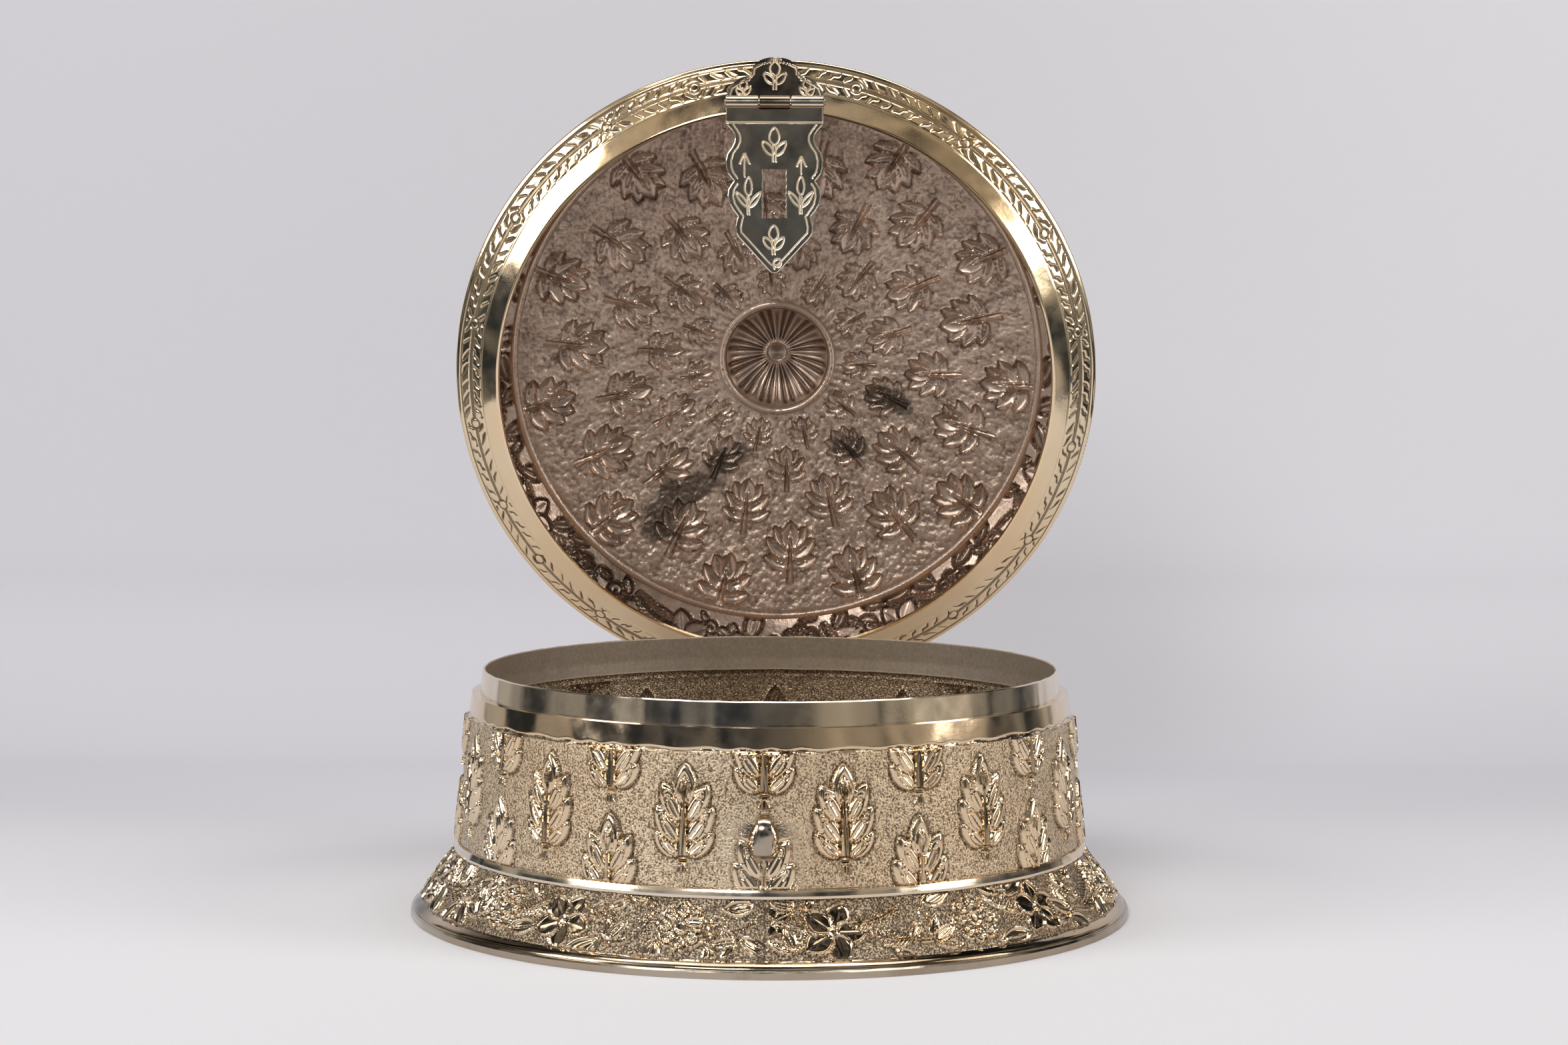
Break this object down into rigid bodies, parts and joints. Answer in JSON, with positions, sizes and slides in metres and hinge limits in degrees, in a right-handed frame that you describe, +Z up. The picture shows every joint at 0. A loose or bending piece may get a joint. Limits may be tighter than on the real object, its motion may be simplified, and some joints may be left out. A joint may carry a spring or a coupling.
{
  "type": "hinged round box",
  "caption": "Round box on a flared foot, with a raised collar, a domed hinged lid and a hanging hasp that drops over a staple.",
  "frame": {"origin": "centre of the foot, on the table", "axes": "+Z up along the box's axis, -Y towards the hasp, +Y towards the lid hinge, X across"},
  "size_m": [0.22, 0.2315, 0.2646],
  "materials": {
    "matted_silver": "chased relief on a matted ground",
    "lid_silver": "dull, tarnished repousse sheet",
    "gilt_strip": "polished, engraved",
    "hasp_silver": "polished, engraved",
    "plain_silver": "polished"
  },
  "bodies": {
    "root": {"foot_skirt": "matted_silver", "foot_rim": "plain_silver", "waist_band": "plain_silver", "body_wall": "matted_silver", "floor_plate": "plain_silver", "rim_collar": "plain_silver", "hasp_staple": "hasp_silver", "rear_hinge_wall_leaf": "hasp_silver", "rear_hinge_pin": "hasp_silver"},
    "lid": {"lid_seat_strip": "gilt_strip", "lid_edge_wire": "plain_silver", "lid_shoulder": "lid_silver", "lid_bead": "plain_silver", "lid_top_plate": "lid_silver", "lid_boss_ring": "plain_silver", "lid_boss": "lid_silver", "rear_hinge_lid_leaf": "hasp_silver", "hasp_fixed_leaf": "hasp_silver"},
    "hasp": {"hasp_plate": "hasp_silver", "hasp_pin": "hasp_silver"}
  },
  "joints": [
    {"name": "lid_hinge", "type": "hinge", "parent": "root", "child": "lid", "pos_m": [0, 0.094, 0.0664], "axis": [1, 0, 0], "range_deg": [-16, 76.9]},
    {"name": "hasp_hang", "type": "hinge", "parent": "lid", "child": "hasp", "pos_m": [0, 0.05139, 0.24951], "axis": [1, 0, 0], "range_deg": [-97, 21]}
  ],
  "couplings": [
    {"joint": "hasp_hang", "follows": "lid_hinge", "ratio": -1.26}
  ]
}
